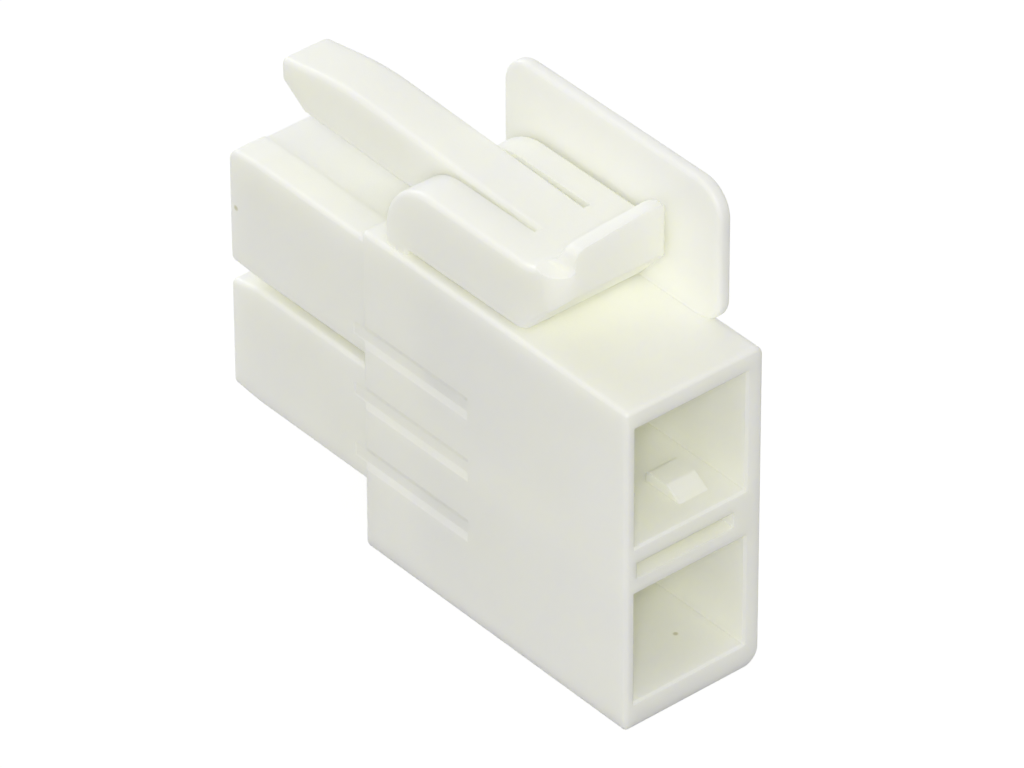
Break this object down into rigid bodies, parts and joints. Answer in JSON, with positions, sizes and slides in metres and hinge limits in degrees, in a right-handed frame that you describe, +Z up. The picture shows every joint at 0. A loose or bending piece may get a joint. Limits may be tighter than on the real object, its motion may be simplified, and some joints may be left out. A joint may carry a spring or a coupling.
{
  "type": "wire to board connector housing",
  "caption": "Moulded nylon plug housing with hollow mating towers, a sprung latch arm with a thumb pad and a tall guard plate beside it.",
  "frame": {"origin": "under the middle of the housing's overall box, on the flat face that it rests on", "axes": "+X points from the wire side to the mating side, +Y points away from the guard plate, +Z points up to the latch"},
  "size_m": [0.0244, 0.007, 0.0218],
  "materials": {
    "nylon": "natural off-white nylon, satin as moulded, slightly translucent"
  },
  "bodies": {
    "root": {"housing": "nylon"}
  },
  "joints": []
}
